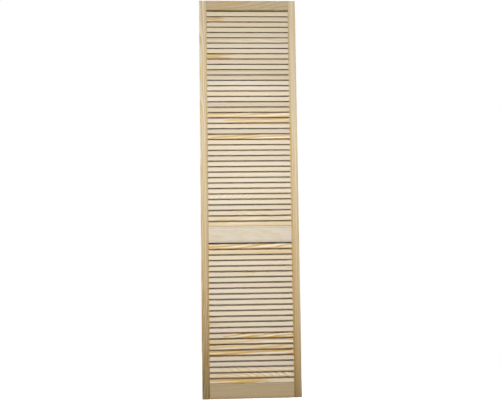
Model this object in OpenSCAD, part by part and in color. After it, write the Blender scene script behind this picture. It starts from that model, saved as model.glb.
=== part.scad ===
// Louvred cabinet door: two stiles and three rails, dowelled together round two rows of fixed slats.
// Millimetres. X is the width, Y the thickness with the front face at -Y, and Z the height.
// The origin is on the floor line, in the middle of the leaf's width and thickness.

/* [Leaf] */
// Width of the door leaf
door_w = 494; // [294:1:594]
// Thickness of the stiles and rails
door_t = 21; // [20:0.5:28]

/* [Stiles and rails] */
// Width of each stile
stile_w = 38; // [34:1:60]
// Height of the top rail
top_rail_h = 49; // [40:1:90]
// Height of the middle rail
mid_rail_h = 81; // [50:1:120]
// Height of the bottom rail
bottom_rail_h = 74; // [50:1:120]

/* [Slats] */
// Number of slats above the middle rail
upper_slats = 40; // [10:1:45]
// Number of slats below the middle rail
lower_slats = 25; // [5:1:30]
// Height from one slat to the next
slat_pitch = 27.7; // [24:0.1:30]
// Width of a slat across its slope
slat_w = 33.5; // [30:0.5:34.5]
// Thickness of a slat
slat_t = 5.5; // [4.5:0.1:6]
// Lean of a slat from upright, with its lower edge at the front
slat_tilt = 22; // [16:0.5:23.5]

/* [Slots in the stiles] */
// Depth of the slot that houses the end of a slat
slot_depth = 8; // [5:0.5:12]
// Play all round a slat in its slot
slot_play = 0.1; // [0.05:0.05:0.3]
// Play between the end of a slat and the bottom of its slot
slot_end_play = 0.4; // [0.2:0.1:1]
// Play between a rail and the nearest slat of its row
row_play = 0.3; // [0.2:0.1:1]

/* [Edges] */
// Width of the moulding on the front edges that face the slats
mould_w = 10; // [6:0.5:14]
// Step down from the face to the moulding
mould_step = 0.6; // [0.3:0.1:1]
// Fall of the rounded part of the moulding
mould_fall = 2.6; // [1.5:0.1:2.8]
// Radius of the eased edges round the outside of the leaf
outer_edge_r = 2; // [1:0.5:3]
// Radius of the eased back edges that face the slats
inner_edge_r = 0.5; // [0.3:0.1:0.8]

/* [Dowels] */
// Diameter of the dowels in the corner and middle joints
dowel_d = 8; // [6:1:10]
// Length of a dowel
dowel_l = 40; // [30:2:50]
// Height of a dowel's axis from the nearest edge of its rail
dowel_inset = 14; // [10:1:17]
// Glue room round a dowel
dowel_play = 0.05; // [0.03:0.01:0.15]
// Glue room past each end of a dowel
dowel_end_play = 1; // [0.5:0.5:3]
// Width of the flutes that let the glue out
flute_d = 0.9; // [0.5:0.1:1.2]
// Number of flutes round a dowel
flutes = 12; // [6:1:16]
// Bevel at each end of a dowel
dowel_bevel = 1; // [0.5:0.1:1.5]

/* [Hidden] */
$fn = 96;
cut = 1; // how far a cutting shape passes the surface that it cuts

clear_w = door_w - 2 * stile_w;
slat_l = clear_w + 2 * (slot_depth - slot_end_play);
slat_rise = (slat_w - slat_t) * cos(slat_tilt) + slat_t;

// The rails and the rows between them stack up from the floor line
function row_h(count) = slat_rise + (count - 1) * slat_pitch + 2 * row_play;
lower_row_z = bottom_rail_h;
mid_rail_z = lower_row_z + row_h(lower_slats);
upper_row_z = mid_rail_z + mid_rail_h;
top_rail_z = upper_row_z + row_h(upper_slats);
door_h = top_rail_z + top_rail_h;

// The slats run midway between the foot of the moulding and the eased back edge
mould_d = mould_step + mould_fall;
slat_y = (mould_d - inner_edge_r) / 2;

// Slats are numbered from the top of their row, as they are seen from the front
function slat_z(row_z, count, number) = row_z + row_play + slat_rise / 2 + (count - number) * slat_pitch;

// Foot and height of each rail
RAILS = [[top_rail_z, top_rail_h], [mid_rail_z, mid_rail_h], [0, bottom_rail_h]];
RAIL_NAMES = ["top", "mid", "bottom"];
// The two sides of the leaf, as signs of X
SIDES = [-1, 1];
SIDE_NAMES = ["left", "right"];

// Two neighbouring slats share a node, and an odd last slat has its own
function pairs(count) = ceil(count / 2);
function digits(number) = str(number < 10 ? "0" : "", number);
function slats_name(row, count, pair) =
    2 * pair + 2 > count ? str(row, "_slat_", digits(count))
    : str(row, "_slats_", digits(2 * pair + 1), "_", digits(2 * pair + 2));
function joint_name(rail, side) = str(RAIL_NAMES[rail], "_", SIDE_NAMES[side], "_dowels");

STILE_COLOR = [0.84, 0.76, 0.61];
RAIL_COLOR = [0.81, 0.74, 0.61];
SLAT_COLOR = [0.91, 0.85, 0.73];
DOWEL_COLOR = [0.78, 0.63, 0.46];

// A section drawn with its first axis on Y and its second on Z, run along X and centred on X = 0
module along_x(length) {
    rotate([90, 0, 90])
        linear_extrude(length, center = true)
            children();
}

// A bar section from (0, 0), with the corners at its second side rounded
module eased_section(size, r) {
    square([size[0] - r, size[1]]);
    translate([0, r])
        square([size[0], size[1] - 2 * r]);
    for (y = [r, size[1] - r])
        translate([size[0] - r, y])
            circle(r);
}

// Waste of the moulding: the edge that it runs along is at (0, 0), the timber is at +X and +Y,
// and the face that it is cut in lies on the X axis. A small step starts the moulding at mould_w,
// and a shallow arc falls from there to mould_d at the edge.
module moulding_waste() {
    arc_r = (mould_w * mould_w + mould_fall * mould_fall) / (2 * mould_fall);
    difference() {
        translate([-cut, -cut])
            square([mould_w + cut, mould_d + cut]);
        translate([mould_w, mould_step + arc_r])
            circle(arc_r);
    }
}

// Waste of a small rounding at a corner at (0, 0), with the timber at +X and +Y
module rounding_waste(r) {
    difference() {
        translate([-cut, -cut])
            square([r + cut, r + cut]);
        translate([r, r])
            circle(r);
    }
}

// The slat's section with its lower edge to the front, grown all round by the play of its slot
module slat_section(play) {
    rotate(-slat_tilt) {
        square([slat_t + 2 * play, slat_w - slat_t], center = true);
        for (end = [-1, 1])
            translate([0, end * (slat_w - slat_t) / 2])
                circle(d = slat_t + 2 * play);
    }
}

module slat_at(z) {
    translate([0, slat_y, z])
        along_x(slat_l)
            slat_section(0);
}

// What the slots take out of both stiles, for every slat of a row
module slot_waste(row_z, count) {
    for (number = [1 : count])
        translate([0, slat_y, slat_z(row_z, count, number)])
            along_x(clear_w + 2 * slot_depth)
                slat_section(slot_play);
}

// A fluted, bevelled dowel lying along X, centred on X = 0
module dowel() {
    rotate([0, 90, 0])
        difference() {
            union() {
                cylinder(d = dowel_d, h = dowel_l - 2 * dowel_bevel, center = true);
                for (turn = [0, 180])
                    rotate([turn, 0, 0])
                        translate([0, 0, dowel_l / 2 - dowel_bevel])
                            cylinder(d1 = dowel_d, d2 = dowel_d - 2 * dowel_bevel, h = dowel_bevel);
            }
            for (flute = [0 : flutes - 1])
                rotate(360 * flute / flutes)
                    translate([dowel_d / 2, 0, 0])
                        cylinder(d = flute_d, h = dowel_l + 2 * cut, center = true);
        }
}

// Heights of the two dowels of a rail, given as its foot and height
function dowel_heights(rail) = [rail[0] + dowel_inset, rail[0] + rail[1] - dowel_inset];

// The two dowels that cross the line between a rail and a stile, at their middle
module dowel_pair(rail, side) {
    joint_x = side * clear_w / 2;
    color(DOWEL_COLOR)
        for (z = dowel_heights(rail))
            translate([joint_x, 0, z])
                dowel();
}

// The bores for all the dowels of a rail, which run on from the rail into both stiles
module dowel_bores(rail) {
    for (z = dowel_heights(rail), side = SIDES)
        translate([side * clear_w / 2, 0, z])
            rotate([0, 90, 0])
                cylinder(d = dowel_d + 2 * dowel_play, h = dowel_l + 2 * dowel_end_play, center = true);
}

// The outside of the leaf seen from its side, which eases the ends of the stiles and the outer rails
module leaf_outline() {
    translate([-door_t / 2, outer_edge_r])
        square([door_t, door_h - 2 * outer_edge_r]);
    translate([outer_edge_r - door_t / 2, 0])
        square([door_t - 2 * outer_edge_r, door_h]);
    for (y = [outer_edge_r - door_t / 2, door_t / 2 - outer_edge_r], z = [outer_edge_r, door_h - outer_edge_r])
        translate([y, z])
            circle(outer_edge_r);
}

// Plan of the left stile: outer edges eased, moulding at the inner front, small rounding behind it
module stile_plan() {
    difference() {
        translate([-clear_w / 2, -door_t / 2])
            mirror([1, 0])
                eased_section([stile_w, door_t], outer_edge_r);
        translate([-clear_w / 2, -door_t / 2])
            mirror([1, 0])
                moulding_waste();
        translate([-clear_w / 2, door_t / 2])
            rotate(180)
                rounding_waste(inner_edge_r);
    }
}

module left_stile() {
    color(STILE_COLOR)
        difference() {
            intersection() {
                linear_extrude(door_h)
                    stile_plan();
                along_x(door_w)
                    leaf_outline();
            }
            slot_waste(upper_row_z, upper_slats);
            slot_waste(lower_row_z, lower_slats);
            for (rail = RAILS)
                dowel_bores(rail);
        }
}

module right_stile() {
    mirror([1, 0, 0])
        left_stile();
}

// Waste along the upper edge of a rail at height z: moulding in front and small rounding behind
module upper_edge_waste(z) {
    translate([-door_t / 2, z])
        rotate(-90)
            moulding_waste();
    translate([door_t / 2, z])
        rotate(180)
            rounding_waste(inner_edge_r);
}

// Waste along the lower edge of a rail at height z
module lower_edge_waste(z) {
    translate([0, 2 * z])
        mirror([0, 1])
            upper_edge_waste(z);
}

// A board between the stiles, moulded along the edges that face slats above it or below it
module rail_board(rail, slats_above, slats_below) {
    foot_z = rail[0];
    height = rail[1];
    color(RAIL_COLOR)
        difference() {
            along_x(clear_w)
                difference() {
                    intersection() {
                        translate([-door_t / 2, foot_z])
                            square([door_t, height]);
                        leaf_outline();
                    }
                    if (slats_above)
                        upper_edge_waste(foot_z + height);
                    if (slats_below)
                        lower_edge_waste(foot_z);
                }
            dowel_bores(rail);
        }
}

module top_rail() {
    rail_board(RAILS[0], slats_above = false, slats_below = true);
}

module mid_rail() {
    rail_board(RAILS[1], slats_above = true, slats_below = true);
}

module bottom_rail() {
    rail_board(RAILS[2], slats_above = true, slats_below = false);
}

// Slats 2 * pair + 1 and 2 * pair + 2 of a row, counted from its top
module slat_pair(row_z, count, pair) {
    color(SLAT_COLOR)
        for (number = [2 * pair + 1 : min(2 * pair + 2, count)])
            slat_at(slat_z(row_z, count, number));
}

left_stile();
right_stile();
top_rail();
mid_rail();
bottom_rail();
for (rail = [0 : 2], side = [0 : 1])
    dowel_pair(RAILS[rail], SIDES[side]);
for (pair = [0 : pairs(upper_slats) - 1])
    slat_pair(upper_row_z, upper_slats, pair);
for (pair = [0 : pairs(lower_slats) - 1])
    slat_pair(lower_row_z, lower_slats, pair);
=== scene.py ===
import math
import random
from dataclasses import dataclass

import bmesh
import bpy
from mathutils import Matrix, Vector


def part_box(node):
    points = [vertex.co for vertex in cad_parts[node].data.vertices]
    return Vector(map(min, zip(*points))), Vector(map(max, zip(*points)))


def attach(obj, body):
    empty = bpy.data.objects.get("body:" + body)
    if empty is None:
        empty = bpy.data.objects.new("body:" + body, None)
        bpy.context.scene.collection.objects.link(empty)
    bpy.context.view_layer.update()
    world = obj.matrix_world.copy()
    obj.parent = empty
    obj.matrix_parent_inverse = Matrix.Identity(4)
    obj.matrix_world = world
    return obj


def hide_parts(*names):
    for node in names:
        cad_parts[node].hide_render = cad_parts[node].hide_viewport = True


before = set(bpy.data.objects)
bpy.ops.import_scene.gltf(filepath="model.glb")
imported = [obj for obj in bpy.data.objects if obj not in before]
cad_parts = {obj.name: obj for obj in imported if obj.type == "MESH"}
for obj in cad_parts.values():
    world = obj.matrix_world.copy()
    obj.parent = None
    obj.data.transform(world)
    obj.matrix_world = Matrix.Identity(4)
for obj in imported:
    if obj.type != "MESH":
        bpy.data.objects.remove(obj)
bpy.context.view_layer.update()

# The looks of a louvred cabinet door in raw pine.
# Metres throughout. X is the leaf's width, Y its thickness with the front at -Y, and Z its height.

# Camera, as the photo was taken
PHOTO_W = 500
FOCAL_PX = 697.0
SENSOR_MM = 36.0
CAMERA_AT = Vector((-0.1643, -3.5125, 0.729))
CAMERA_TURN = math.radians(-2.71)
CAMERA_RISE = math.radians(4.16)
CAMERA_ROLL = math.radians(0.76)

# The leaf's own sizes: two that the frame's boxes don't give, and half the width between the stiles
SLAT_T = 0.0055
MOULDING_W = 0.010
FIELD_HALF_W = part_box("mid_rail")[1].x


# Nodes

# How far apart nodes are laid out, and the middle of the values that a noise gives
NODE_SPACING = 180
NOISE_MIDDLE = 0.5

# A Mix node repeats its sockets for each kind of value. These are the places of those for colours.
MIX_FACTOR = 0
MIX_FIRST = 6
MIX_SECOND = 7
MIX_RESULT = 2


class Nodes:
    """Fills one node tree. Most calls add a node, feed its inputs and give back what it puts out."""

    def __init__(self, tree):
        self.tree = tree

    def feed(self, socket, value):
        """Links an input to what another node puts out, or sets it to a plain value."""
        if isinstance(value, bpy.types.NodeSocket):
            self.tree.links.new(value, socket)
        else:
            socket.default_value = value

    def add(self, kind, feeds=None, **settings):
        """A new node. Its settings come before its feeds, because some of them change its sockets."""
        node = self.tree.nodes.new("ShaderNode" + kind)
        node.location = (NODE_SPACING * len(self.tree.nodes), 0)
        for name, value in settings.items():
            setattr(node, name, value)
        for socket, value in (feeds or {}).items():
            self.feed(node.inputs[socket], value)
        return node

    def place(self, group, feeds):
        """A node group, fed by the names of its inputs."""
        return self.add("Group", feeds, node_tree=group).outputs

    def calc(self, operation, *values, clamp=False):
        feeds = dict(enumerate(values))
        return self.add("Math", feeds, operation=operation, use_clamp=clamp).outputs[0]

    def plus(self, first, second, clamp=False):
        return self.calc("ADD", first, second, clamp=clamp)

    def minus(self, first, second):
        return self.calc("SUBTRACT", first, second)

    def times(self, first, second, clamp=False):
        return self.calc("MULTIPLY", first, second, clamp=clamp)

    def span(self, value, low, high, to_low=0.0, to_high=1.0, soft=True):
        """A value from low to high, turned into one from to_low to to_high and kept between them."""
        feeds = {"Value": value, "From Min": low, "From Max": high, "To Min": to_low, "To Max": to_high}
        way = "SMOOTHSTEP" if soft else "LINEAR"
        return self.add("MapRange", feeds, interpolation_type=way).outputs["Result"]

    def mix(self, factor, first, second, blend="MIX"):
        feeds = {MIX_FACTOR: factor, MIX_FIRST: first, MIX_SECOND: second}
        return self.add("Mix", feeds, data_type="RGBA", blend_type=blend).outputs[MIX_RESULT]

    def tint(self, colour, tone):
        """A colour multiplied by another."""
        return self.mix(1.0, colour, tone, blend="MULTIPLY")

    def shade(self, colour, factor):
        """A colour multiplied by a number."""
        return self.tint(colour, self.join(factor, factor, factor))

    def split(self, vector):
        return self.add("SeparateXYZ", {0: vector}).outputs[:3]

    def join(self, x, y, z):
        return self.add("CombineXYZ", {0: x, 1: y, 2: z}).outputs[0]

    def vector(self, operation, first, second):
        """The vector that two vectors make."""
        return self.add("VectorMath", {0: first, 1: second}, operation=operation).outputs["Vector"]

    def number(self, operation, *vectors):
        """The number that one vector or two make."""
        return self.add("VectorMath", dict(enumerate(vectors)), operation=operation).outputs["Value"]

    def noise(self, vector, detail=2.0):
        return self.add("TexNoise", {"Vector": vector, "Scale": 1.0, "Detail": detail}).outputs

    def swing(self, noise, reach):
        """A noise's value turned into a swing to both sides of 0, by half the reach at most."""
        return self.times(self.minus(noise, NOISE_MIDDLE), reach)

    def position(self):
        return self.add("TexCoord").outputs["Object"]


def make_group(name, inputs, outputs, fill):
    """A shader node group with named sockets, filled by a function that gives each output's value."""
    tree = bpy.data.node_groups.new(name, "ShaderNodeTree")
    for label, (kind, value) in inputs.items():
        socket = tree.interface.new_socket(label, in_out="INPUT", socket_type="NodeSocket" + kind)
        socket.default_value = value
    for label, kind in outputs.items():
        tree.interface.new_socket(label, in_out="OUTPUT", socket_type="NodeSocket" + kind)
    nodes = Nodes(tree)
    results = fill(nodes, tree.nodes.new("NodeGroupInput").outputs)
    sink = tree.nodes.new("NodeGroupOutput")
    for label, value in results.items():
        nodes.feed(sink.inputs[label], value)
    return tree


def srgb(red, green, blue):
    """A colour as seen on a screen, from 0 to 255, in the renderer's linear values."""
    def linear(value):
        """One channel, by the sRGB curve."""
        value /= 255
        return value / 12.92 if value <= 0.04045 else ((value + 0.055) / 1.055) ** 2.4
    return (linear(red), linear(green), linear(blue), 1.0)


def grey(level):
    """A grey in the renderer's linear values."""
    return (level, level, level, 1.0)


WHITE = grey(1.0)


# Wood. A board's own coordinates are along the grain, across the face and through the thickness.

# How often and how finely the pith drifts along the board, and how far it wanders
DRIFT_PER_M = 2.4
DRIFT_DETAIL = 1.5
PITH_WANDER = 0.03

# How the rings ripple, how uneven the years are, and what keeps that noise apart from the drift's
RIPPLES_PER_M = (9.0, 70.0, 70.0)
RIPPLED_YEARS = 0.7
UNEVEN_PER_YEAR = 0.6
UNEVEN_YEARS = 1.1
UNEVEN_APART = 3.0

# The parts of a year in which late wood sets in and ends
LATE_STARTS = (0.30, 0.90)
LATE_ENDS = (0.93, 1.0)


def from_pith(nodes, given):
    """How far each place in the board lies from the pith, a line that wanders and leans."""
    along, across, depth = nodes.split(given["Board"])
    path = nodes.join(nodes.times(along, DRIFT_PER_M), given["Log"], 0.0)
    sideways, inwards, _ = nodes.split(nodes.noise(path, detail=DRIFT_DETAIL)["Color"])
    beside = nodes.minus(across, given["Pith Across"])
    beside = nodes.minus(beside, nodes.swing(sideways, given["Wander"]))
    below = nodes.minus(depth, given["Pith Depth"])
    below = nodes.minus(below, nodes.swing(inwards, given["Wander"]))
    below = nodes.minus(below, nodes.times(along, given["Lean"]))
    return nodes.calc("SQRT", nodes.plus(nodes.times(beside, beside), nodes.times(below, below)))


def fill_growth_rings(nodes, given):
    """Rings round the pith line. Its lean makes the face cut them at a low angle, which shows them as
    long flames."""
    ripple_at = nodes.vector("MULTIPLY", given["Board"], RIPPLES_PER_M)
    ripple_at = nodes.vector("ADD", ripple_at, nodes.join(given["Log"], 0.0, 0.0))
    years = nodes.calc("DIVIDE", from_pith(nodes, given), given["Ring Width"])
    years = nodes.plus(years, nodes.swing(nodes.noise(ripple_at)["Fac"], RIPPLED_YEARS))
    uneven_at = nodes.join(nodes.times(years, UNEVEN_PER_YEAR), given["Log"], UNEVEN_APART)
    uneven = nodes.times(nodes.noise(uneven_at)["Fac"], UNEVEN_YEARS)
    year = nodes.calc("FRACT", nodes.plus(years, uneven))
    rising = nodes.span(year, *LATE_STARTS)
    return {"Late Wood": nodes.times(rising, nodes.span(year, *LATE_ENDS, 1.0, 0.0))}


RING_INPUTS = {
    "Board": ("Vector", (0, 0, 0)),
    "Log": ("Float", 0.0),
    "Pith Across": ("Float", 0.0),
    "Pith Depth": ("Float", 0.05),
    "Lean": ("Float", 0.0),
    "Wander": ("Float", PITH_WANDER),
    "Ring Width": ("Float", 0.004),
}
GROWTH_RINGS = make_group("growth_rings", RING_INPUTS, {"Late Wood": "Float"}, fill_growth_rings)


@dataclass
class Streaks:
    """A noise drawn out along the grain: how often it changes per metre of the board, how fine it is,
    and the stretch of its values that becomes 0 to 1."""
    per_m: tuple
    detail: float
    low: float
    high: float


STREAKS = {
    "Fibre": Streaks(per_m=(35.0, 2600.0, 2600.0), detail=2.0, low=0.30, high=0.70),
    "Band": Streaks(per_m=(0.8, 170.0, 170.0), detail=3.0, low=0.35, high=0.65),
    "Duct": Streaks(per_m=(160.0, 3200.0, 3200.0), detail=0.0, low=0.74, high=0.80),
    "Cloud": Streaks(per_m=(2.5, 60.0, 60.0), detail=2.0, low=0.30, high=0.70),
}


def fill_fibres(nodes, given):
    """Fine straight fibres, soft bands, short resin ducts and clouds, all drawn out along the grain."""
    board = nodes.vector("ADD", given["Board"], nodes.join(given["Log"], 0.0, 0.0))
    masks = {}
    for name, streaks in STREAKS.items():
        drawn_out = nodes.vector("MULTIPLY", board, streaks.per_m)
        noise = nodes.noise(drawn_out, detail=streaks.detail)["Fac"]
        masks[name] = nodes.span(noise, streaks.low, streaks.high)
    return masks


FIBRES = make_group(
    "fibres",
    {"Board": ("Vector", (0, 0, 0)), "Log": ("Float", 0.0)},
    {name: "Float" for name in STREAKS},
    fill_fibres,
)

# How fibres and ducts shade the pine, and the least share of the amber that shows between its clouds
FIBRE_SHADE = (0.955, 1.015)
DUCT_SHADE = 0.16
AMBER_LEAST = 0.6

# Roughness of early and late wood, and what a fibre adds
EARLY_ROUGHNESS = 0.66
LATE_ROUGHNESS = 0.54
FIBRE_ROUGHNESS = 0.06

# How high late wood and fibres stand and how deep ducts lie, in shares of the grain's relief
LATE_HEIGHT = 0.5
FIBRE_HEIGHT = 0.35
DUCT_DEPTH = 0.6


def late_wood(nodes, given, rings, bands):
    """How far each place is late wood, by its growth ring or by a soft band."""
    late = nodes.times(rings, given["Figure"], clamp=True)
    bands = nodes.times(bands, given["Bands"])
    return nodes.plus(late, nodes.times(bands, nodes.minus(1.0, late)), clamp=True)


def early_colour(nodes, given, clouds):
    """The colour of early wood, with its clouds and its warm places."""
    clouded = nodes.times(clouds, given["Clouds"])
    colour = nodes.mix(clouded, given["Early Colour"], given["Cloud Colour"])
    share = nodes.span(clouds, 0.0, 1.0, AMBER_LEAST, 1.0)
    return nodes.mix(nodes.times(given["Amber"], share, clamp=True), colour, given["Amber Colour"])


def fill_pine(nodes, given):
    """Raw planed pine: pale early wood, amber late wood, fibres, ducts and soft clouds of tone."""
    rings = nodes.place(GROWTH_RINGS, {name: given[name] for name in RING_INPUTS})
    fibres = nodes.place(FIBRES, {"Board": given["Board"], "Log": given["Log"]})
    late = late_wood(nodes, given, rings["Late Wood"], fibres["Band"])
    colour = nodes.mix(late, early_colour(nodes, given, fibres["Cloud"]), given["Late Colour"])
    shade = nodes.span(fibres["Fibre"], 0.0, 1.0, *FIBRE_SHADE)
    shade = nodes.minus(shade, nodes.times(fibres["Duct"], DUCT_SHADE))
    rough = nodes.span(late, 0.0, 1.0, EARLY_ROUGHNESS, LATE_ROUGHNESS)
    height = nodes.plus(nodes.times(late, LATE_HEIGHT), nodes.times(fibres["Fibre"], FIBRE_HEIGHT))
    return {
        "Color": nodes.shade(colour, shade),
        "Roughness": nodes.plus(rough, nodes.times(fibres["Fibre"], FIBRE_ROUGHNESS)),
        "Height": nodes.minus(height, nodes.times(fibres["Duct"], DUCT_DEPTH)),
    }


PINE = make_group(
    "pine",
    RING_INPUTS | {
        "Figure": ("Float", 0.5),
        "Bands": ("Float", 0.1),
        "Clouds": ("Float", 0.3),
        "Amber": ("Float", 0.0),
        "Early Colour": ("Color", WHITE),
        "Cloud Colour": ("Color", WHITE),
        "Late Colour": ("Color", WHITE),
        "Amber Colour": ("Color", WHITE),
    },
    {"Color": "Color", "Roughness": "Float", "Height": "Float"},
    fill_pine,
)

# How often and how far a patch's edge wavers, and the part of its reach that it fills wholly
PATCH_WAVES_PER_M = (25.0, 180.0, 180.0)
PATCH_WAVER = 1.2
PATCH_CORE = 0.45


def fill_patch(nodes, given):
    """A soft patch with a wavering edge round a place on a board."""
    offset = nodes.vector("SUBTRACT", given["Board"], given["Centre"])
    waves = nodes.noise(nodes.vector("MULTIPLY", given["Board"], PATCH_WAVES_PER_M))["Fac"]
    away = nodes.number("LENGTH", nodes.vector("DIVIDE", offset, given["Reach"]))
    away = nodes.plus(away, nodes.swing(waves, PATCH_WAVER))
    return {"Mask": nodes.span(away, PATCH_CORE, 1.0, 1.0, 0.0)}


PATCH = make_group(
    "patch",
    {
        "Board": ("Vector", (0, 0, 0)),
        "Centre": ("Vector", (0, 0, 0)),
        "Reach": ("Vector", (0.1, 0.01, 1)),
    },
    {"Mask": "Float"},
    fill_patch,
)

# How squarely a face crosses the grain before it counts as sawn, and what sawing does to it
SAWN_FACING = (0.75, 0.95)
SAWN_TONE = srgb(232, 218, 200)
SAWN_ROUGHNESS = 0.15

# The two ways in which the grain of a board runs
GRAIN_ACROSS_LEAF = (1, 0, 0)
GRAIN_UPRIGHT = (0, 0, 1)


def fill_cut_end(nodes, given):
    """Sawn ends drink in more light than planed faces: darker, browner and rougher."""
    normal = nodes.add("NewGeometry").outputs["True Normal"]
    facing = nodes.calc("ABSOLUTE", nodes.number("DOT_PRODUCT", normal, given["Grain"]))
    end = nodes.span(facing, *SAWN_FACING)
    return {
        "Color": nodes.mix(end, given["Color"], nodes.tint(given["Color"], SAWN_TONE)),
        "Roughness": nodes.plus(given["Roughness"], nodes.times(end, SAWN_ROUGHNESS)),
    }


CUT_END = make_group(
    "cut_end",
    {"Color": ("Color", WHITE), "Roughness": ("Float", 0.6), "Grain": ("Vector", GRAIN_ACROSS_LEAF)},
    {"Color": "Color", "Roughness": "Float"},
    fill_cut_end,
)

# Height of the grain's relief, how strongly it shows, and how much raw wood shines
GRAIN_RELIEF = 0.00006
RELIEF_STRENGTH = 0.7
WOOD_SPECULAR = 0.3


def new_material(name):
    material = bpy.data.materials.new(name)
    material.use_nodes = True
    material.node_tree.nodes.clear()
    return material, Nodes(material.node_tree)


def finish_wood(nodes, colour, rough, height):
    """The shader of raw wood, with the relief of its grain."""
    bump = nodes.add("Bump", {"Strength": RELIEF_STRENGTH, "Distance": GRAIN_RELIEF, "Height": height})
    feeds = {"Base Color": colour, "Roughness": rough, "Specular IOR Level": WOOD_SPECULAR}
    shader = nodes.add("BsdfPrincipled", feeds | {"Normal": bump.outputs[0]})
    nodes.add("OutputMaterial", {"Surface": shader.outputs[0]})


def finish_pine(nodes, colour, pine, grain):
    """The shader of a pine board with sawn ends, from its colour and the other values of its wood."""
    end = nodes.place(CUT_END, {"Color": colour, "Roughness": pine["Roughness"], "Grain": grain})
    finish_wood(nodes, end["Color"], end["Roughness"], pine["Height"])


# Stiles and rails

@dataclass
class Tones:
    """The colours of one piece of pine, as seen on a screen. Amber is that of its warm places."""
    early: tuple
    cloud: tuple
    late: tuple
    amber: tuple = (255, 255, 255)

    def sockets(self):
        named = {"Early": self.early, "Cloud": self.cloud, "Late": self.late, "Amber": self.amber}
        return {name + " Colour": srgb(*colour) for name, colour in named.items()}


@dataclass
class BoardLook:
    """The log that a board was cut from, its pith and rings, and how strongly its figure, bands and
    clouds show. Its warm places are given along and across the board, with the depth, the reach and the
    strength that they share. A stile also has painted shade at its foot, up to a height."""
    log: float
    pith_across: float
    pith_depth: float
    lean: float
    ring_width: float
    figure: float
    bands: float
    clouds: float
    warm_places: tuple = ()
    warm_depth: float = 0.0
    warm_reach: tuple = (1.0, 1.0, 1.0)
    warm: float = 0.0
    # Painted shade at a stile's foot: how strong it is and how high it reaches
    painted_shade_at_foot: float = 0.0
    painted_shade_reach: float = 1.0

    def sockets(self):
        return {
            "Log": self.log,
            "Pith Across": self.pith_across,
            "Pith Depth": self.pith_depth,
            "Lean": self.lean,
            "Ring Width": self.ring_width,
            "Figure": self.figure,
            "Bands": self.bands,
            "Clouds": self.clouds,
        }


STILE_HEAD = Tones(
    early=(230, 222, 200), cloud=(224, 206, 169), late=(200, 169, 115), amber=(220, 179, 109))
# The stiles' colours at the foot, yellower and darker than at the head: painted shade
STILE_FOOT_PAINTED_SHADE_TONES = Tones(
    early=(231, 200, 142), cloud=(224, 187, 120), late=(190, 150, 91), amber=(210, 166, 92))

# Heights between which painted shade makes the stiles yellower and darker towards the foot, and between
# which painted shade makes them a little darker towards the head
STILE_FOOT_SHADE_Z = (-0.25, 1.4)
STILE_HEAD_Z = (1.1, 1.6)
STILE_HEAD_PAINTED_SHADE = 0.93
STILE_MOULDING_TONE = srgb(241, 233, 216)

LEFT_STILE = BoardLook(
    log=11.0, pith_across=-0.024, pith_depth=0.035, lean=-0.045, ring_width=0.0080,
    figure=0.9, bands=0.3, clouds=0.45,
    warm_places=((1.63, -0.018), (1.42, -0.018), (1.118, -0.018), (0.89, -0.018),
                 (0.62, -0.015), (0.5, -0.006), (0.38, -0.014), (0.2, 0.002)),
    warm_reach=(0.06, 0.008, 1.0), warm=0.8, painted_shade_at_foot=0.56, painted_shade_reach=0.85)
RIGHT_STILE = BoardLook(
    log=47.0, pith_across=0.052, pith_depth=0.020, lean=-0.008, ring_width=0.0075,
    figure=0.65, bands=0.5, clouds=0.6,
    warm_places=((1.25, -0.015), (0.95, -0.015), (0.6, -0.015), (0.32, -0.015)),
    warm_reach=(0.18, 0.007, 1.0), warm=0.55, painted_shade_at_foot=0.48, painted_shade_reach=0.6)

TOP_RAIL = BoardLook(
    log=5.0, pith_across=0.06, pith_depth=0.060, lean=0.13, ring_width=0.0130,
    figure=0.55, bands=0.5, clouds=0.6,
    warm_places=((-0.10, 0.014),), warm_reach=(0.14, 0.016, 1.0), warm=0.8)
TOP_RAIL_TONES = Tones(
    early=(199, 183, 150), cloud=(193, 173, 133), late=(170, 145, 104), amber=(204, 166, 105))
MID_RAIL = BoardLook(
    log=23.0, pith_across=-0.02, pith_depth=0.060, lean=0.10, ring_width=0.0120,
    figure=0.22, bands=0.12, clouds=0.4,
    warm_places=((-0.165, -0.010), (-0.08, 0.019), (-0.03, 0.004), (0.075, 0.009), (0.13, -0.002)),
    warm_depth=-0.01, warm_reach=(0.036, 0.009, 0.02), warm=0.6)
MID_RAIL_TONES = Tones(
    early=(230, 219, 200), cloud=(226, 211, 186), late=(210, 190, 154), amber=(226, 204, 158))
BOTTOM_RAIL = BoardLook(
    log=31.0, pith_across=0.03, pith_depth=0.080, lean=0.0, ring_width=0.0060,
    figure=0.12, bands=0.1, clouds=0.6)
# The bottom rail's wood in tones darker than the other rails', with painted shade as at the stiles' feet
BOTTOM_RAIL_PAINTED_SHADE_TONES = Tones(early=(198, 178, 142), cloud=(192, 169, 129), late=(168, 141, 101))

# Strip along the floor where the bottom rail is browner
BOTTOM_EDGE_Z = (0.004, 0.014)
BOTTOM_EDGE_STRENGTH = 0.8
BOTTOM_EDGE_TONE = srgb(180, 145, 110)

# Painted shade on the moulding along a rail's upper edge and painted light on the one along its lower
# edge, beside its face
UPPER_MOULDING_PAINTED_SHADE = 0.78
LOWER_MOULDING_PAINTED_LIGHT = 1.1

# How sharply a moulding's tone ends, and where it fades out towards the back of the board
MILLED_EDGE = 0.0002
MILLED_FADE_Y = (-0.002, 0.0)


def warmth_of(nodes, board, look):
    """The strength of a board's warm places, and 0 beside them."""
    mask = 0.0
    for place in look.warm_places:
        feeds = {"Board": board, "Centre": (*place, look.warm_depth), "Reach": look.warm_reach}
        mask = nodes.calc("MAXIMUM", mask, nodes.place(PATCH, feeds)["Mask"])
    return nodes.times(mask, look.warm)


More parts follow.
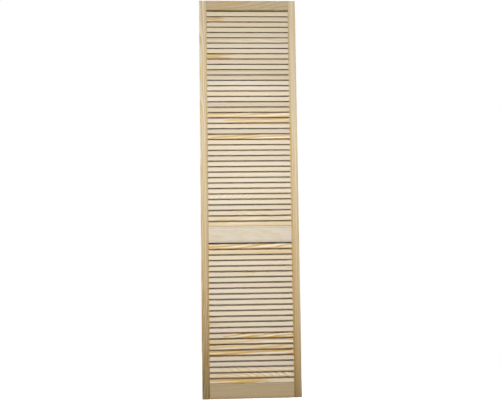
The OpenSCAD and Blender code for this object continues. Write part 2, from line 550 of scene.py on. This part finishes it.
def wood_of(nodes, board, look, colours):
    """The pine of one board of the frame, with its warm places."""
    feeds = {"Board": board, "Amber": warmth_of(nodes, board, look)}
    return nodes.place(PINE, feeds | look.sockets() | colours)


def milled_mask(nodes, from_edge, y):
    """1 on the moulding along a board's front edge, and 0 on the rest of the board."""
    beside = nodes.span(from_edge, MOULDING_W - MILLED_EDGE, MOULDING_W + MILLED_EDGE, 1.0, 0.0)
    return nodes.times(beside, nodes.span(y, *MILLED_FADE_Y, 1.0, 0.0))


def stile_colours(nodes, z):
    """The stiles' colours at a height, with painted shade that makes them yellower and darker towards
    the foot.
    """
    rise = nodes.span(z, *STILE_FOOT_SHADE_Z, soft=False)
    head = STILE_HEAD.sockets()
    foot = STILE_FOOT_PAINTED_SHADE_TONES.sockets()
    return {name: nodes.mix(rise, foot[name], head[name]) for name in head}


def stile_foot_painted_shade(nodes, z, look):
    """Painted shade at a stile's foot: less than 1 there, rising to 1 some way up."""
    short = nodes.span(z, 0.0, look.painted_shade_reach, 1.0, 0.0, soft=False)
    return nodes.minus(1.0, nodes.times(nodes.times(short, short), look.painted_shade_at_foot))


def stile_material(node, look):
    """A stile: grain upright, with painted shade that makes it yellower and darker towards the foot and
    a little darker towards the head, and a browner moulding.
    """
    material, nodes = new_material(node + "_pine")
    low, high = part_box(node)
    x, y, z = nodes.split(nodes.position())
    board = nodes.join(z, nodes.minus(x, (low.x + high.x) / 2), y)
    pine = wood_of(nodes, board, look, stile_colours(nodes, z))
    # Painted shade: darker at the foot and a little darker at the head
    colour = nodes.shade(pine["Color"], stile_foot_painted_shade(nodes, z, look))
    colour = nodes.shade(colour, nodes.span(z, *STILE_HEAD_Z, 1.0, STILE_HEAD_PAINTED_SHADE))
    milled = milled_mask(nodes, nodes.minus(nodes.calc("ABSOLUTE", x), FIELD_HALF_W), y)
    colour = nodes.mix(milled, colour, nodes.tint(colour, STILE_MOULDING_TONE))
    finish_pine(nodes, colour, pine, GRAIN_UPRIGHT)
    return material


def paint_moulding_light_and_shade(nodes, colour, from_edge, y, tone):
    """A rail's colour, with the moulding along one of its edges multiplied by a factor: painted shade
    below 1 and painted light above it.
    """
    milled = milled_mask(nodes, from_edge, y)
    return nodes.shade(colour, nodes.span(milled, 0.0, 1.0, 1.0, tone, soft=False))


def rail_material(node, look, tones):
    """A rail: grain across the leaf, and a moulding along each edge that faces slats, with painted shade
    on the upper edge and painted light on the lower one. The bottom rail has a brown strip along the
    floor."""
    material, nodes = new_material(node + "_pine")
    low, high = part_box(node)
    x, y, z = nodes.split(nodes.position())
    board = nodes.join(x, nodes.minus(z, (low.z + high.z) / 2), y)
    pine = wood_of(nodes, board, look, tones.sockets())
    colour = pine["Color"]
    if node != "top_rail":
        # Painted shade on the upper moulding
        colour = paint_moulding_light_and_shade(nodes, colour, nodes.minus(high.z, z), y, UPPER_MOULDING_PAINTED_SHADE)
    if node != "bottom_rail":
        # Painted light on the lower moulding
        colour = paint_moulding_light_and_shade(nodes, colour, nodes.minus(z, low.z), y, LOWER_MOULDING_PAINTED_LIGHT)
    else:
        edge = nodes.span(z, *BOTTOM_EDGE_Z, BOTTOM_EDGE_STRENGTH, 0.0)
        colour = nodes.mix(edge, colour, BOTTOM_EDGE_TONE)
    finish_pine(nodes, colour, pine, GRAIN_ACROSS_LEAF)
    return material


# The beech of the dowels: its tone, its bands and its flecks, how rough it is and its log
BEECH = srgb(214, 178, 138)
BEECH_BAND = srgb(190, 148, 108)
BEECH_FLECK = srgb(140, 98, 66)
BEECH_FLECK_STRENGTH = 0.7
BEECH_ROUGHNESS = (0.5, 0.62)
BEECH_LOG = 7.0


def dowel_material():
    """Fluted beech: pinkish tan with short fine flecks along the dowel."""
    material, nodes = new_material("beech_dowel")
    fibres = nodes.place(FIBRES, {"Board": nodes.position(), "Log": BEECH_LOG})
    colour = nodes.mix(fibres["Band"], BEECH, BEECH_BAND)
    colour = nodes.mix(nodes.times(fibres["Duct"], BEECH_FLECK_STRENGTH), colour, BEECH_FLECK)
    rough = nodes.span(fibres["Fibre"], 0.0, 1.0, *BEECH_ROUGHNESS)
    finish_wood(nodes, colour, rough, fibres["Fibre"])
    return material


def dress_frame():
    """Gives the boards of the frame and the dowels in their joints their wood."""
    boards = {
        "left_stile": stile_material("left_stile", LEFT_STILE),
        "right_stile": stile_material("right_stile", RIGHT_STILE),
        "top_rail": rail_material("top_rail", TOP_RAIL, TOP_RAIL_TONES),
        "mid_rail": rail_material("mid_rail", MID_RAIL, MID_RAIL_TONES),
        "bottom_rail": rail_material("bottom_rail", BOTTOM_RAIL, BOTTOM_RAIL_PAINTED_SHADE_TONES),
    }
    dowel = dowel_material()
    for node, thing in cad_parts.items():
        material = dowel if "dowels" in node else boards.get(node)
        if material is not None:
            thing.data.materials.clear()
            thing.data.materials.append(material)


# Slats. A slat's own coordinates are X along it, Z across it and Y through it.

# How far a real slat departs from its straight solid, and how finely its mesh is divided
SLAT_BOW = 0.0002
SLAT_TWIST = math.radians(0.2)
SLAT_END_EASE = 0.0004
SLAT_ARC_STEPS = 7
SLAT_STATIONS = 28


@dataclass
class SlatLook:
    """What sets a slat apart: the strength of its figure, where that starts and ends from 0 at the left
    to 1 at the right, the warmth of its wood, the slope of its streaks, positive where they rise to the
    right, the log it is from, its tone beside its neighbours' and how pink it is. A log or a blush of
    None is drawn at random."""
    figure: float = 0.0
    start: float = 0.0
    end: float = 1.0
    warmth: float = 0.0
    slope: float = 0.01
    log: float | None = None
    tone: float = 1.0
    blush: float | None = None


# The slats that stand out in the photo, numbered from the top of their row
STANDOUTS = {
    "upper": {
        1: SlatLook(warmth=0.5, tone=1.03),
        2: SlatLook(figure=1.0, end=0.20, warmth=0.4, slope=-0.10, log=41.1),
        3: SlatLook(warmth=0.4, tone=1.03),
        4: SlatLook(warmth=0.3),
        6: SlatLook(figure=0.45, slope=-0.08),
        8: SlatLook(tone=1.04),
        9: SlatLook(figure=0.9, end=0.28, warmth=0.5, slope=-0.04, log=28.4),
        10: SlatLook(tone=0.94, blush=0.9),
        12: SlatLook(figure=0.3, warmth=0.4, tone=0.86, blush=1.0),
        13: SlatLook(warmth=0.15, tone=0.92, blush=1.0),
        16: SlatLook(tone=1.05),
        18: SlatLook(warmth=0.15, tone=0.87, blush=1.0),
        19: SlatLook(warmth=0.65, tone=0.93, blush=0.8),
        20: SlatLook(figure=0.75, warmth=0.2, slope=0.05, log=28.4, tone=0.98),
        21: SlatLook(figure=0.8, start=0.25, slope=0.07, log=41.1, tone=0.97),
        23: SlatLook(tone=0.87),
        24: SlatLook(figure=0.9, warmth=0.2, slope=0.06, log=41.1),
        27: SlatLook(warmth=0.1, tone=0.96),
        28: SlatLook(tone=0.92),
        30: SlatLook(tone=0.97),
        35: SlatLook(figure=0.4, slope=0.5),
        37: SlatLook(tone=0.93),
        38: SlatLook(figure=0.45, start=0.25, warmth=0.1, slope=-0.4),
        39: SlatLook(figure=0.45, start=0.1, end=0.9, warmth=0.4, slope=0.12),
        40: SlatLook(figure=0.35, warmth=0.65, tone=1.03),
    },
    "lower": {
        1: SlatLook(figure=1.0, warmth=0.2, slope=0.10, log=28.4),
        2: SlatLook(figure=0.35, warmth=0.6),
        5: SlatLook(figure=0.6, start=0.88, warmth=0.1, slope=0.1),
        6: SlatLook(figure=0.5, start=0.38, end=0.62, warmth=0.1, slope=0.1),
        9: SlatLook(tone=1.05),
        12: SlatLook(tone=1.05),
        13: SlatLook(tone=1.05),
        14: SlatLook(figure=0.6, end=0.12, warmth=0.1),
        15: SlatLook(figure=0.5, end=0.08, warmth=0.1),
        17: SlatLook(figure=1.0, start=0.2, warmth=0.2, slope=0.14, log=28.4),
        18: SlatLook(figure=0.7, warmth=0.5, slope=0.05, tone=0.97),
        19: SlatLook(figure=0.8, warmth=0.3, slope=0.10, log=15.7),
        20: SlatLook(figure=1.0, warmth=0.5, slope=0.08, log=41.1),
        22: SlatLook(tone=0.95),
        23: SlatLook(figure=0.5, start=0.2, warmth=0.1, slope=-0.4, log=28.4),
        24: SlatLook(figure=0.7, start=0.1, warmth=0.1, slope=-0.35, log=28.4),
        25: SlatLook(figure=1.0, end=0.66, warmth=0.95, slope=0.05, log=41.1),
    },
}
PLAIN = SlatLook()

# Ranges from which each slat's own values are drawn
LOGS = (0, 90)
PITH_AWAY = (0.05, 0.07)
ADDED_WARMTH = (0.0, 0.15)
BLUSH = (0.0, 1.0)
TONE_CHANCE = (0.98, 1.02)

# Ring widths of slats with figure and of plain ones
BROAD_RINGS = 0.013
FINE_RINGS = 0.005

# Between these heights painted shade makes the slats a little darker towards the head
SLAT_HEAD_Z = (1.1, 2.0)
SLAT_HEAD_PAINTED_SHADE = 0.07

# The ends of a figured stretch, in shares of the slat: how often and how far their tongues reach, how
# softly they fade, and where they lie when the figure runs on past the slat's own ends
TONGUES_PER_M = (7.0, 150.0)
TONGUE_REACH = 0.5
FIGURE_FADE = 0.07
BEFORE_SLAT = -1.0
PAST_SLAT = 2.0

# How strongly rings show where a slat has no figure, and bands and clouds everywhere on it
PLAIN_FIGURE = 0.08
SLAT_BANDS = 0.45
SLAT_CLOUDS = 1.0

# The slats' wood: creams where it is plain, others in its figure, and late wood for both
CREAM = srgb(220, 212, 198)
WARM_CREAM = srgb(217, 196, 154)
BLUSH_CREAM = srgb(224, 205, 192)
YELLOW_CREAM = srgb(219, 207, 179)
OCHRE_WOOD = srgb(224, 202, 158)
AMBER_WOOD = srgb(200, 168, 106)
WHITE_WOOD = srgb(246, 241, 230)
PLAIN_LATE = srgb(208, 188, 152)
BRIGHT_LATE = srgb(194, 152, 68)

# Where the painted shade in the strip that a neighbour covers sets in, across from the slat's middle,
# and its tone
GAP_SHADE_ACROSS = (0.0092, 0.0112)
GAP_SHADE_TONE = srgb(112, 86, 74)


def figure_mask(nodes, x, z, log, start, end):
    """Where a slat shows its figure. The ends of the figured stretch are drawn out in long tongues."""
    along, across = TONGUES_PER_M
    tongue_at = nodes.join(nodes.times(x, along), nodes.times(z, across), log)
    place = nodes.span(x, -FIELD_HALF_W, FIELD_HALF_W, soft=False)
    place = nodes.plus(place, nodes.swing(nodes.noise(tongue_at)["Fac"], TONGUE_REACH))
    begun = nodes.span(place, nodes.minus(start, FIGURE_FADE), nodes.plus(start, FIGURE_FADE))
    ended = nodes.span(place, nodes.minus(end, FIGURE_FADE), nodes.plus(end, FIGURE_FADE))
    return nodes.times(begun, nodes.minus(1.0, ended))


def own(nodes, name):
    """One of the values that each slat keeps for the material that all of them share."""
    return nodes.add("Attribute", attribute_type="OBJECT", attribute_name=name).outputs["Fac"]


def slat_colours(nodes, figure):
    """The colours of a slat's wood: creams where it is plain, amber and white in its figure."""
    cream = nodes.mix(own(nodes, "blush"), CREAM, BLUSH_CREAM)
    cream = nodes.mix(own(nodes, "warmth"), cream, WARM_CREAM)
    amber = nodes.mix(own(nodes, "warmth"), OCHRE_WOOD, AMBER_WOOD)
    return {
        "Early Colour": nodes.mix(figure, cream, amber),
        "Cloud Colour": nodes.mix(figure, YELLOW_CREAM, WHITE_WOOD),
        "Late Colour": nodes.mix(figure, PLAIN_LATE, BRIGHT_LATE),
    }


def painted_gap_shade(nodes, colour, y, z):
    """A slat's colour, with painted shade where its neighbours cover it: in a strip along the upper edge
    of its front and one along the lower edge of its back."""
    # Y is half the thickness on either face, so this is Z on the front and -Z on the back.
    towards_neighbour = nodes.times(nodes.times(z, y), -2 / SLAT_T)
    gap_shaded = nodes.span(towards_neighbour, *GAP_SHADE_ACROSS)
    return nodes.mix(gap_shaded, colour, nodes.tint(colour, GAP_SHADE_TONE))


def slat_material():
    """The pine that all slats share. Each slat's own values set its log, its tone with painted shade
    towards the head, and its figure.
    """
    material, nodes = new_material("slat_pine")
    x, y, z = nodes.split(nodes.position())
    log = own(nodes, "log")
    stretch = figure_mask(nodes, x, z, log, own(nodes, "figure_from"), own(nodes, "figure_to"))
    figure = nodes.times(own(nodes, "figure"), stretch)
    feeds = {
        "Board": nodes.join(x, z, y),
        "Log": log,
        "Pith Across": own(nodes, "pith_across"),
        "Pith Depth": own(nodes, "pith_depth"),
        "Lean": own(nodes, "lean"),
        "Ring Width": own(nodes, "ring_width"),
        "Figure": nodes.span(figure, 0.0, 1.0, PLAIN_FIGURE, 1.0, soft=False),
        "Bands": SLAT_BANDS,
        "Clouds": SLAT_CLOUDS,
    }
    pine = nodes.place(PINE, feeds | slat_colours(nodes, figure))
    # The slat's tone holds painted shade towards the head
    colour = nodes.shade(pine["Color"], own(nodes, "tone"))
    # Painted shade in the strip that the neighbouring slat covers
    finish_pine(nodes, painted_gap_shade(nodes, colour, y, z), pine, GRAIN_ACROSS_LEAF)
    return material


@dataclass
class SlatShape:
    """The straight shape that all slats share, with the height that it takes up as it leans."""
    length: float
    width: float
    lean: float
    rise: float


def slat_shape():
    """The slats' shape, from the box of the one that has a node to itself."""
    low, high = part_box("lower_slat_25")
    rise = high.z - low.z
    flat_rise = rise - SLAT_T
    flat_depth = high.y - low.y - SLAT_T
    width = math.hypot(flat_rise, flat_depth) + SLAT_T
    return SlatShape(high.x - low.x, width, math.atan2(flat_depth, flat_rise), rise)


def slat_section(width):
    """Points round a slat's section, with fully rounded edges, as (through, across) pairs."""
    radius = SLAT_T / 2
    reach = width / 2 - radius
    points = []
    for side in (1, -1):
        for step in range(SLAT_ARC_STEPS + 1):
            angle = math.pi * step / SLAT_ARC_STEPS
            points.append((side * radius * math.cos(angle), side * (reach + radius * math.sin(angle))))
    return points


def slat_ring(mesh, section, x, bow, twist, ease):
    """One ring of vertices round the slat at x, bowed and twisted between the stiles, and drawn in by
    the ease."""
    free = max(0.0, 1.0 - (x / FIELD_HALF_W) ** 2)
    turn = twist * free * x / FIELD_HALF_W
    ring = []
    for through, across in section:
        through -= math.copysign(min(ease, abs(through)), through)
        across -= math.copysign(ease, across)
        y = through * math.cos(turn) - across * math.sin(turn) + bow * free
        z = through * math.sin(turn) + across * math.cos(turn)
        ring.append(mesh.verts.new((x, y, z)))
    return ring


def slat_rings(mesh, shape, bow, twist):
    """The rings from one end of a slat to the other. The first and the last are drawn in."""
    section = slat_section(shape.width)
    end = shape.length / 2
    steps = range(SLAT_STATIONS + 1)
    between_stiles = [FIELD_HALF_W * (2 * step / SLAT_STATIONS - 1) for step in steps]
    rings = [slat_ring(mesh, section, -end, bow, twist, SLAT_END_EASE)]
    for x in [SLAT_END_EASE - end, *between_stiles, end - SLAT_END_EASE]:
        rings.append(slat_ring(mesh, section, x, bow, twist, 0.0))
    rings.append(slat_ring(mesh, section, end, bow, twist, SLAT_END_EASE))
    return rings


def close_slat(mesh, rings):
    """Faces between neighbouring rings, and last of all one over each end."""
    for first, second in zip(rings, rings[1:]):
        for corner in range(len(first)):
            after = (corner + 1) % len(first)
            mesh.faces.new((first[corner], first[after], second[after], second[corner]))
    mesh.faces.new(rings[0])
    mesh.faces.new(reversed(rings[-1]))
    bmesh.ops.recalc_face_normals(mesh, faces=mesh.faces)


def slat_mesh(name, shape, chance):
    """One slat, with its own slight bow and twist. It is smooth all round, with flat ends."""
    bow = chance.uniform(-SLAT_BOW, SLAT_BOW)
    twist = chance.uniform(-SLAT_TWIST, SLAT_TWIST)
    mesh = bmesh.new()
    close_slat(mesh, slat_rings(mesh, shape, bow, twist))
    data = bpy.data.meshes.new(name)
    mesh.to_mesh(data)
    mesh.free()
    data.shade_smooth()
    for end_face in data.polygons[-2:]:
        end_face.use_smooth = False
    return data


def painted_head_shade(z):
    """Painted shade on a slat: 1 up to a height, and a little less from there to the head of the leaf.
    """
    low, high = SLAT_HEAD_Z
    share = min(1.0, max(0.0, (z - low) / (high - low)))
    smooth = share * share * (3 - 2 * share)
    return 1.0 - SLAT_HEAD_PAINTED_SHADE * smooth


def set_look(slat, look, z, chance):
    """Keeps on the slat the values that the shared material reads. Figure that starts or ends with the
    slat goes on past it, so that it doesn't fade there."""
    slat["log"] = chance.uniform(*LOGS) if look.log is None else look.log
    slat["pith_across"] = chance.choice((-1, 1)) * chance.uniform(*PITH_AWAY)
    slat["pith_depth"] = chance.uniform(*PITH_AWAY)
    slat["lean"] = look.slope * slat["pith_across"] / slat["pith_depth"]
    slat["ring_width"] = BROAD_RINGS if look.figure > 0 else FINE_RINGS
    slat["figure"] = look.figure
    slat["figure_from"] = look.start if look.start > 0 else BEFORE_SLAT
    slat["figure_to"] = look.end if look.end < 1 else PAST_SLAT
    slat["warmth"] = min(1.0, look.warmth + chance.uniform(*ADDED_WARMTH))
    slat["blush"] = chance.uniform(*BLUSH) if look.blush is None else look.blush
    # A slat's tone is its wood's own tone times painted shade towards the head
    slat["tone"] = painted_head_shade(z) * look.tone * chance.uniform(*TONE_CHANCE)


def put_in_scene(name, data):
    thing = bpy.data.objects.new(name, data)
    bpy.context.scene.collection.objects.link(thing)
    return thing


def make_slat(name, shape, y, z, look, material):
    """One slat with its middle at y and z, leaning with its lower edge to the front."""
    chance = random.Random(name)
    slat = put_in_scene(name, slat_mesh(name, shape, chance))
    slat.location = (0, y, z)
    slat.rotation_euler = (-shape.lean, 0, 0)
    slat.data.materials.append(material)
    set_look(slat, look, z, chance)
    return slat


def make_slats(material):
    """Every slat as its own board, in the place that its node in the frame gives it. A node's first
    slat lies at the top of its box, and the second, where it has one, at the bottom."""
    shape = slat_shape()
    for node in sorted(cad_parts):
        if "_slat" not in node:
            continue
        row = node.split("_")[0]
        numbers = [int(part) for part in node.split("_") if part.isdigit()]
        low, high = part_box(node)
        heights = (high.z - shape.rise / 2, low.z + shape.rise / 2)
        for number, z in zip(numbers, heights):
            name = f"{row}_slat_{number:02d}"
            look = STANDOUTS[row].get(number, PLAIN)
            slat = make_slat(name, shape, (low.y + high.y) / 2, z, look, material)
            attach(slat, "root")
            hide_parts(node)


# Studio

@dataclass
class Softbox:
    """A rectangular lamp: its place, what it is turned to, its size, its watts and its beam's angle."""
    place: tuple
    aim: tuple
    size: tuple
    watts: float
    beam: float = math.pi


# The front lamps are gridded, one turned to the head and a higher one turned to the foot, where the
# slats' shadows are longer. The side lamps stand far enough back to miss the front of the leaf.
SOFTBOXES = {
    "front_softbox": Softbox(
        place=(-0.3, -5.0, 3.2), aim=(0, 0, 2.0), size=(1.4, 0.4), watts=8.1, beam=math.radians(34)),
    "high_softbox": Softbox(
        place=(-0.3, -3.2, 4.4), aim=(0, 0, 0.15), size=(0.8, 0.3), watts=7.9, beam=math.radians(32)),
    "back_softbox": Softbox(place=(0.9, 3.4, 1.0), aim=(0, 0, 1.1), size=(1.6, 1.0), watts=70),
    "left_softbox": Softbox(place=(-3.2, 0.35, 1.1), aim=(0, 0, 1.1), size=(0.3, 1.4), watts=50),
    "right_softbox": Softbox(place=(3.2, 0.35, 1.1), aim=(0, 0, 1.1), size=(0.3, 1.4), watts=50),
}

# How strongly the plain light from all round shines on the leaf
AMBIENT = 0.2

# Half the floor's width, and how far from the leaf it turns as white as the backdrop
FLOOR_REACH = 6.0
FLOOR_WHITENS = (0.5, 1.8)

# The floor beside the leaf: its grey and its own glow as the camera sees it, and its grey for all else
FLOOR_GREY = 0.8
FLOOR_GLOW = 0.72
FLOOR_BOUNCE = 0.2


def light_leaf():
    """The lamps round the leaf."""
    for name, softbox in SOFTBOXES.items():
        data = bpy.data.lights.new(name, "AREA")
        data.shape = "RECTANGLE"
        data.size, data.size_y = softbox.size
        data.energy = softbox.watts
        data.spread = softbox.beam
        light = put_in_scene(name, data)
        light.location = softbox.place
        facing = Vector(softbox.aim) - Vector(softbox.place)
        light.rotation_euler = facing.to_track_quat("-Z", "Y").to_euler()


def seen_directly(nodes):
    """1 for rays from the camera and for those that metal or glass would send on, else 0."""
    light_path = nodes.add("LightPath").outputs
    seen = nodes.calc("MAXIMUM", light_path["Is Camera Ray"], light_path["Is Glossy Ray"])
    return nodes.calc("MAXIMUM", seen, light_path["Is Transmission Ray"])


def make_world():
    """A white backdrop, with plain ambient light."""
    world = bpy.data.worlds.new("studio")
    bpy.context.scene.world = world
    world.use_nodes = True
    world.node_tree.nodes.clear()
    nodes = Nodes(world.node_tree)
    ambient = nodes.add("Background", {"Color": WHITE, "Strength": AMBIENT}).outputs[0]
    white = nodes.add("Background", {"Color": WHITE, "Strength": 1.0}).outputs[0]
    mixed = nodes.add("MixShader", {0: seen_directly(nodes), 1: ambient, 2: white}).outputs[0]
    nodes.add("OutputWorld", {"Surface": mixed})


def floor_material():
    """Pale near the leaf, where it keeps the shadow, and as white as the backdrop farther off."""
    material, nodes = new_material("pale_floor")
    plain = nodes.add("BsdfDiffuse", {"Color": grey(FLOOR_BOUNCE)}).outputs[0]
    lit = nodes.add("BsdfDiffuse", {"Color": grey(FLOOR_GREY)}).outputs[0]
    glow = nodes.add("Emission", {"Color": WHITE, "Strength": FLOOR_GLOW}).outputs[0]
    near = nodes.add("AddShader", {0: lit, 1: glow}).outputs[0]
    white = nodes.add("Emission", {"Color": WHITE, "Strength": 1.0}).outputs[0]
    far = nodes.span(nodes.number("LENGTH", nodes.position()), *FLOOR_WHITENS)
    pale = nodes.add("MixShader", {0: far, 1: near, 2: white}).outputs[0]
    mixed = nodes.add("MixShader", {0: seen_directly(nodes), 1: plain, 2: pale}).outputs[0]
    nodes.add("OutputMaterial", {"Surface": mixed})
    return material


def make_floor():
    data = bpy.data.meshes.new("floor")
    corners = [(-1, -1), (1, -1), (1, 1), (-1, 1)]
    data.from_pydata([(FLOOR_REACH * x, FLOOR_REACH * y, 0) for x, y in corners], [], [(0, 1, 2, 3)])
    data.materials.append(floor_material())
    floor = put_in_scene("floor", data)


def make_camera():
    data = bpy.data.cameras.new("camera")
    data.sensor_width = SENSOR_MM
    data.lens = SENSOR_MM * FOCAL_PX / PHOTO_W
    camera = put_in_scene("camera", data)
    aim = Matrix.Rotation(CAMERA_TURN, 4, "Z") @ Matrix.Rotation(CAMERA_RISE, 4, "X")
    aim = aim @ Matrix.Rotation(CAMERA_ROLL, 4, "Y") @ Matrix.Rotation(math.pi / 2, 4, "X")
    camera.matrix_world = Matrix.Translation(CAMERA_AT) @ aim
    bpy.context.scene.camera = camera


make_camera()
make_slats(slat_material())
dress_frame()
light_leaf()
make_world()
make_floor()
bpy.context.scene.view_settings.view_transform = "Standard"
